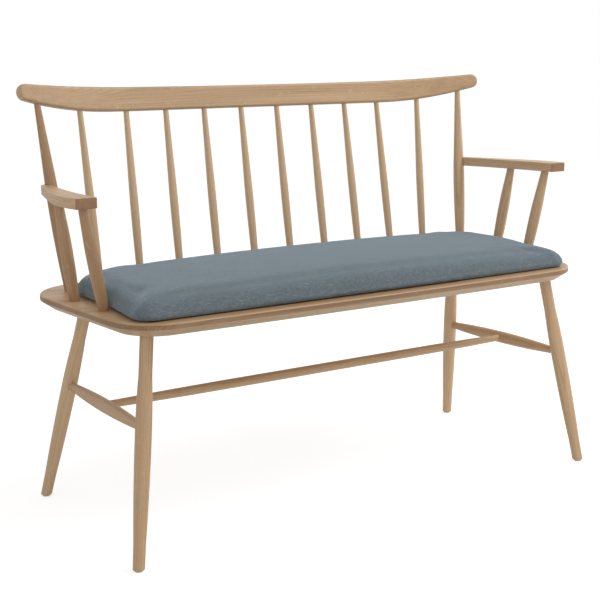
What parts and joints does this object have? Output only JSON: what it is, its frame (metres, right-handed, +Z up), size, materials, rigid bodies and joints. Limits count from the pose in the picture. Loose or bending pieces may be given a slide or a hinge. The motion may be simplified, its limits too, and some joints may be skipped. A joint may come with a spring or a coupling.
{
  "type": "deacons bench",
  "caption": "Spindle-back bench with a bowed crest rail, splayed turned legs, flat splayed arms on short spindles and an upholstered seat pad on a bevelled plank",
  "frame": {"origin": "on the floor, under the middle of the bench's overall length and depth", "axes": "+X along the bench to the sitter's left, -Y the side the sitter faces, +Z up; left in a node's name is -X"},
  "size_m": [1.1526, 0.4869, 0.8216],
  "materials": {
    "oak": "matt oil on pale oak",
    "dowel_wood": "bare beech dowel",
    "plywood": "bare plywood",
    "weave": "blue-grey woven wool",
    "foam": "open-cell foam",
    "nylon": "satin moulded",
    "screw_steel": "zinc plated"
  },
  "bodies": {
    "root": {"seat_plank": "oak", "crest_rail": "oak", "end_post_left": "oak", "end_post_right": "oak", "middle_stretcher": "oak", "back_spindle_01": "oak", "back_spindle_02": "oak", "back_spindle_03": "oak", "back_spindle_04": "oak", "back_spindle_05": "oak", "back_spindle_06": "oak", "back_spindle_07": "oak", "back_spindle_08": "oak", "back_spindle_09": "oak", "back_spindle_10": "oak", "arm_left": "oak", "arm_right": "oak", "arm_dowel_left": "dowel_wood", "arm_dowel_right": "dowel_wood", "side_stretcher_left": "oak", "side_stretcher_right": "oak", "leg_front_left": "oak", "leg_front_right": "oak", "leg_rear_left": "oak", "leg_rear_right": "oak", "glide_front_left": "nylon", "glide_front_right": "nylon", "glide_rear_left": "nylon", "glide_rear_right": "nylon", "arm_spindle_front_left": "oak", "arm_spindle_front_right": "oak", "arm_spindle_rear_left": "oak", "arm_spindle_rear_right": "oak", "pad_board": "plywood", "pad_foam": "foam", "pad_cover": "weave", "pad_screws": "screw_steel"}
  },
  "joints": []
}
